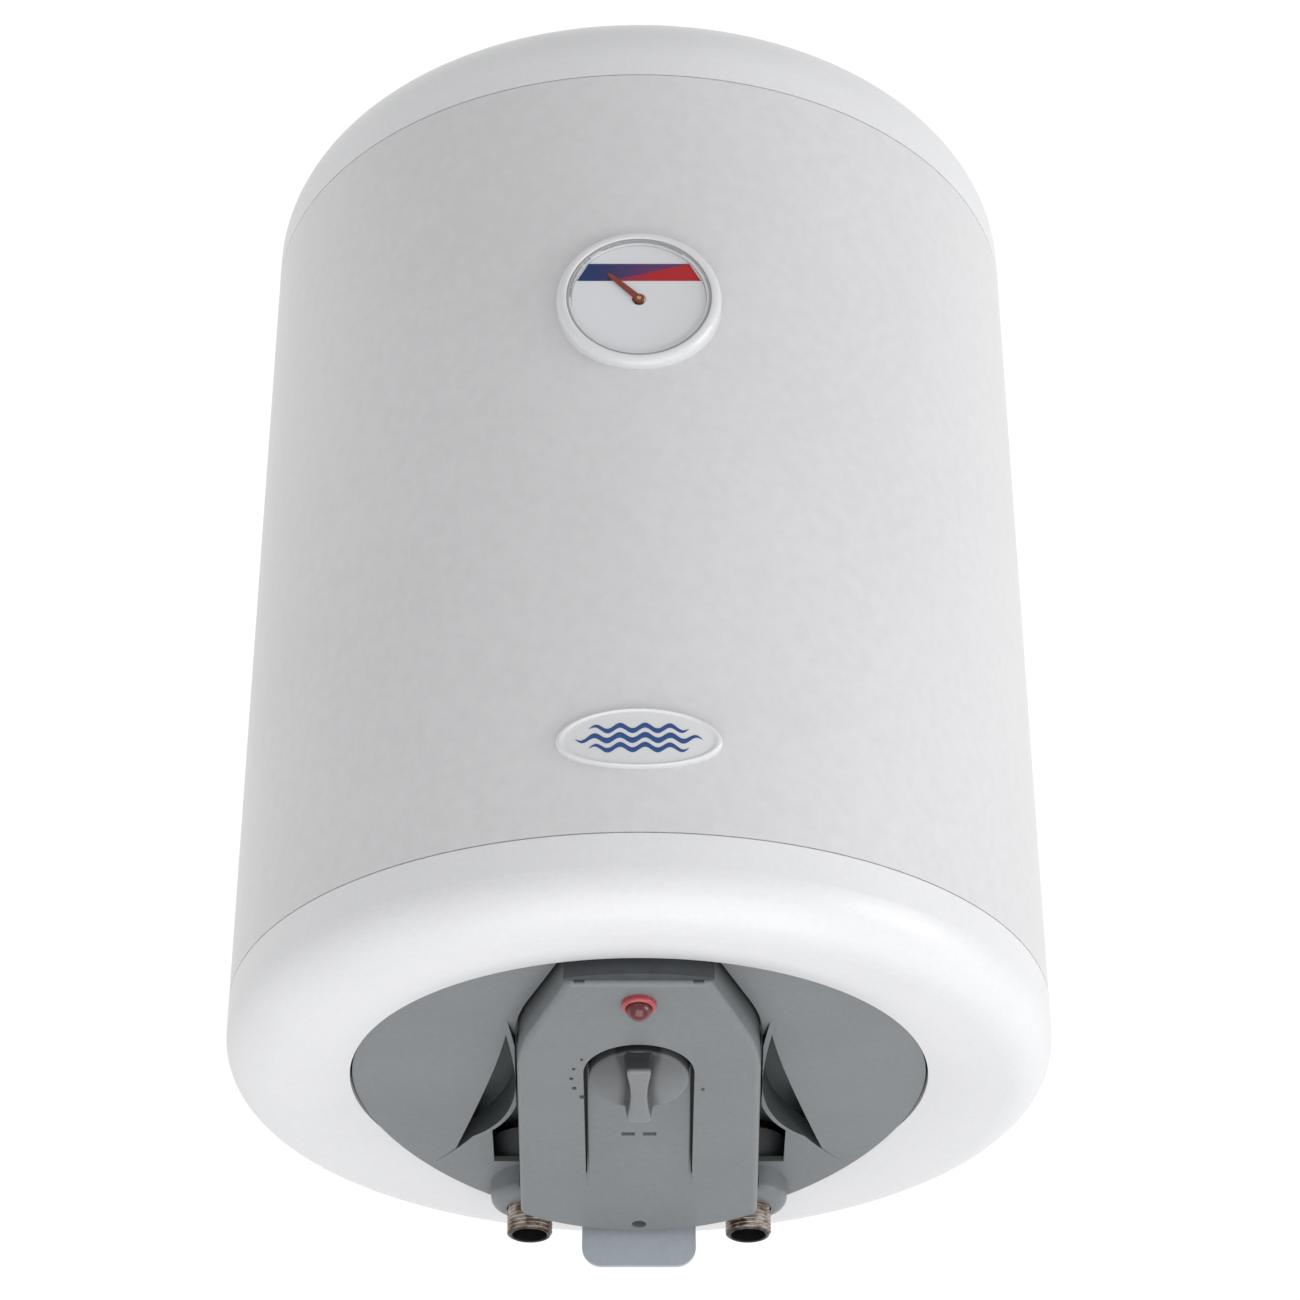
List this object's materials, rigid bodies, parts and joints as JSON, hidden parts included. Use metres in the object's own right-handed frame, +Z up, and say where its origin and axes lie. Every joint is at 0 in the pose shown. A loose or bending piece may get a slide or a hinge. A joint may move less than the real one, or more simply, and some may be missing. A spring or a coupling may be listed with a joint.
{
  "type": "tank water heater",
  "caption": "Wall-hung upright electric tank water heater with a round casing, front thermometer, grey underside console, thermostat knob and pilot lamp.",
  "frame": {"origin": "midway between the two wall bolt holes of the hanger plate, in the plane of the wall", "axes": "+Z up along the tank, -Y to the front with the thermometer and badge, +Y into the wall"},
  "size_m": [0.36, 0.3768, 0.529],
  "materials": {
    "white_enamel": "stoved white paint, satin, faint orange peel",
    "white_plastic": "moulded white plastic, soft gloss",
    "grey_plastic": "moulded mid-grey plastic, fine texture",
    "knob_plastic": "moulded grey plastic, satin",
    "hood_plastic": "moulded light bluish grey plastic",
    "mark_ink": "dark printed and embossed marks",
    "red_lamp": "translucent red plastic",
    "nipple_metal": "zinc plated steel, browned",
    "tank_enamel": "blue-black vitreous enamel on steel",
    "foam": "rigid polyurethane foam",
    "plated_steel": "zinc plated steel",
    "hanger_steel": "white painted steel strip",
    "black_rubber": "black rubber",
    "element_copper": "copper sheathed tube",
    "brass": "machined brass",
    "magnesium": "cast magnesium rod",
    "inner_plastic": "natural plastic",
    "switch_plastic": "black moulded switch body",
    "button_red": "red moulded button",
    "ceramic_block": "cream terminal block",
    "lead_insulation": "insulated leads",
    "gauge_white": "moulded white plastic",
    "dial_grey": "pale grey printed dial",
    "scale_blue": "blue print",
    "scale_red": "red print",
    "gauge_window": "clear moulded window",
    "pointer_red": "red painted hand",
    "badge_white": "glossy white plate",
    "badge_blue": "blue inlay"
  },
  "bodies": {
    "heater": {"outer_casing": "white_enamel", "top_cap": "white_plastic", "bottom_cap": "white_plastic", "insulation_foam": "foam", "tank_shell": "tank_enamel", "tank_top_end": "tank_enamel", "tank_bottom_end": "tank_enamel", "flange_neck": "tank_enamel", "flange_gasket": "black_rubber", "flange_plate": "plated_steel", "flange_studs": "plated_steel", "flange_nuts": "plated_steel", "heating_element": "element_copper", "element_terminals": "brass", "thermometer_pocket": "element_copper", "thermostat_bulb": "element_copper", "cutout_bulb": "element_copper", "thermostat_capillary": "element_copper", "cutout_capillary": "element_copper", "anode_rod": "magnesium", "anode_stud": "plated_steel", "cold_nipple": "nipple_metal", "hot_nipple": "nipple_metal", "cold_inlet_tube": "inner_plastic", "hot_outlet_tube": "inner_plastic", "inlet_diffuser": "inner_plastic", "cover_ring": "grey_plastic", "front_seal": "black_rubber", "service_cover": "grey_plastic", "cover_screw": "plated_steel", "thermostat_body": "switch_plastic", "safety_cutout": "switch_plastic", "lamp_bezel": "red_lamp", "lamp_lens": "red_lamp", "lamp_body": "switch_plastic", "scale_marks": "mark_ink", "terminal_block": "ceramic_block", "terminal_screws": "brass", "internal_leads": "lead_insulation", "cable_gland": "switch_plastic", "cable_hood": "hood_plastic", "gauge_bezel": "gauge_white", "gauge_housing": "gauge_white", "gauge_dial": "dial_grey", "cold_scale": "scale_blue", "hot_scale": "scale_red", "gauge_lens": "gauge_window", "gauge_stem": "brass", "badge_plate": "badge_white", "badge_emblem": "badge_blue", "hanger_plate": "hanger_steel", "hanger_lugs": "hanger_steel", "wall_pad": "black_rubber"},
    "knob": {"control_knob": "knob_plastic", "knob_spindle": "brass"},
    "pointer": {"gauge_pointer": "pointer_red", "gauge_spindle": "brass"},
    "reset": {"reset_button": "button_red"}
  },
  "joints": [
    {"name": "knob_turn", "type": "hinge", "parent": "heater", "child": "knob", "pos_m": [0, -0.234, -0.3686], "axis": [0, -0.1832, -0.9831], "range_deg": [-90, 90]},
    {"name": "pointer_turn", "type": "hinge", "parent": "heater", "child": "pointer", "pos_m": [0, -0.37475, -0.0695], "axis": [0, 1, 0], "range_deg": [-13, 103], "stiffness_Nm_per_rad": 0.0001},
    {"name": "reset_press", "type": "slide", "parent": "heater", "child": "reset", "axis": [0, 0, 1], "range_m": [0, 0.0015], "stiffness_N_per_m": 500}
  ]
}
